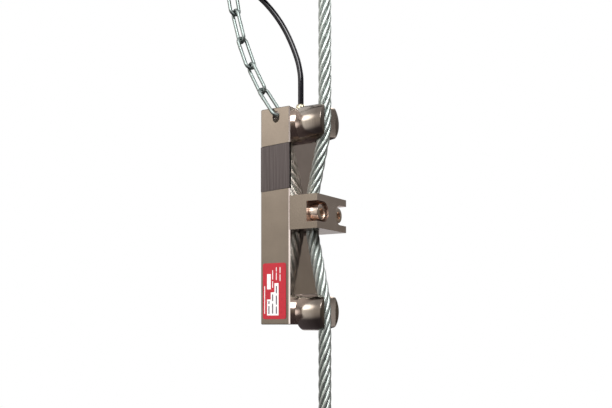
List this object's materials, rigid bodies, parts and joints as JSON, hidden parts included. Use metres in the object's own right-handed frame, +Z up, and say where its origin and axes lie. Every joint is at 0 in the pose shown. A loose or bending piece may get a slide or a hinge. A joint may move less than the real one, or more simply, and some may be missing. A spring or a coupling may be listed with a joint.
{
  "type": "wire rope load cell",
  "caption": "Clamp-on tension load cell for a wire rope, with grooved posts, a screwed rope clamp, a coiled signal cable and a safety chain with a quick link.",
  "frame": {"origin": "centre of the clamped rope, half way up the clamp cap", "axes": "+Z up along the rope, +X from the bar towards the rope, -Y the labelled front face"},
  "size_m": [0.1101, 0.0554, 0.5686],
  "materials": {
    "bar": "satin stainless steel front, polished side face",
    "post": "turned and polished stainless steel",
    "cap": "satin stainless steel",
    "screw": "bright stainless steel",
    "cover": "dark brushed metal",
    "seal": "matte rubber",
    "gauge": "amber foil backing",
    "board": "green laminate",
    "cores": "plain insulation",
    "gland": "nickel-plated brass, satin",
    "label": "red printed vinyl",
    "rope": "bright galvanised strands",
    "terminal": "satin stainless steel",
    "cable": "black sheath, glossy",
    "strap": "woven hook-and-loop tape",
    "connector": "black moulded plastic",
    "connector_nut": "knurled, nickel plated",
    "chain": "zinc plated, worn satin"
  },
  "bodies": {
    "load_cell": {"load_cell_body": "bar", "gauge_cover": "cover", "cover_seal": "seal", "strain_gauge_1": "gauge", "strain_gauge_2": "gauge", "strain_gauge_3": "gauge", "strain_gauge_4": "gauge", "terminal_board": "board", "signal_cores": "cores", "upper_post": "post", "upper_post_washer": "screw", "upper_post_screw": "screw", "lower_post": "post", "lower_post_washer": "screw", "lower_post_screw": "screw", "name_label": "label", "wire_rope": "rope", "upper_rope_terminal": "terminal", "lower_rope_terminal": "terminal", "cable_gland": "gland", "gland_nut": "gland", "signal_cable": "cable", "cable_coil": "cable", "cable_tail": "cable", "coil_strap": "strap", "connector_body": "connector"},
    "clamp_cap": {"clamp_cap": "cap"},
    "clamp_screw_front": {"clamp_screw_front": "screw"},
    "clamp_screw_rear": {"clamp_screw_rear": "screw"},
    "chain_link_1": {"chain_link_1": "chain"},
    "chain_link_2": {"chain_link_2": "chain"},
    "chain_link_3": {"chain_link_3": "chain"},
    "chain_link_4": {"chain_link_4": "chain"},
    "chain_link_5": {"chain_link_5": "chain"},
    "quick_link": {"quick_link": "chain"},
    "quick_link_sleeve": {"quick_link_sleeve": "chain"},
    "connector_nut": {"connector_nut": "connector_nut"}
  },
  "joints": [
    {"name": "clamp_cap_slide", "type": "slide", "parent": "load_cell", "child": "clamp_cap", "axis": [1, 0, 0], "range_m": [0, 0.008]},
    {"name": "clamp_screw_front_turn", "type": "hinge", "parent": "clamp_cap", "child": "clamp_screw_front", "pos_m": [0.015, -0.014, 0], "axis": [1, 0, 0], "range_deg": [0, 2304]},
    {"name": "clamp_screw_rear_turn", "type": "hinge", "parent": "clamp_cap", "child": "clamp_screw_rear", "pos_m": [0.015, 0.014, 0], "axis": [1, 0, 0], "range_deg": [0, 2304]},
    {"name": "chain_link_1_swing", "type": "hinge", "parent": "load_cell", "child": "chain_link_1", "pos_m": [-0.0179, -0.022, 0.0821], "axis": [0.3462, 0.9063, 0.2424], "range_deg": [-3, 20]},
    {"name": "chain_link_2_swing", "type": "hinge", "parent": "chain_link_1", "child": "chain_link_2", "pos_m": [-0.03453, -0.022, 0.10586], "axis": [0.3462, 0.9063, 0.2424], "range_deg": [-20, 20]},
    {"name": "chain_link_3_swing", "type": "hinge", "parent": "chain_link_2", "child": "chain_link_3", "pos_m": [-0.04664, -0.022, 0.12854], "axis": [0.7965, -0.4226, 0.4325], "range_deg": [-3, 20]},
    {"name": "chain_link_4_swing", "type": "hinge", "parent": "chain_link_3", "child": "chain_link_4", "pos_m": [-0.05591, -0.022, 0.15251], "axis": [0.3929, 0.9063, 0.1556], "range_deg": [-20, 20]},
    {"name": "chain_link_5_swing", "type": "hinge", "parent": "chain_link_4", "child": "chain_link_5", "pos_m": [-0.06284, -0.022, 0.17726], "axis": [0.8712, -0.4226, 0.2498], "range_deg": [-6, 20]},
    {"name": "quick_link_swing", "type": "hinge", "parent": "chain_link_5", "child": "quick_link", "pos_m": [-0.06761, -0.022, 0.20252], "axis": [0.4149, 0.9063, 0.0806], "range_deg": [-20, 20]},
    {"name": "quick_link_sleeve_travel", "type": "slide", "parent": "quick_link", "child": "quick_link_sleeve", "axis": [-0.1219, 0, 0.9925], "range_m": [0, 0.005]},
    {"name": "connector_nut_turn", "type": "hinge", "parent": "load_cell", "child": "connector_nut", "pos_m": [-0.009, 0.0188, 0.218], "axis": [0, 0, 1], "continuous": true}
  ],
  "couplings": [
    {"joint": "clamp_screw_front_turn", "follows": "clamp_cap_slide", "rad_per_m": 5026.5},
    {"joint": "clamp_screw_rear_turn", "follows": "clamp_cap_slide", "rad_per_m": 5026.5}
  ]
}
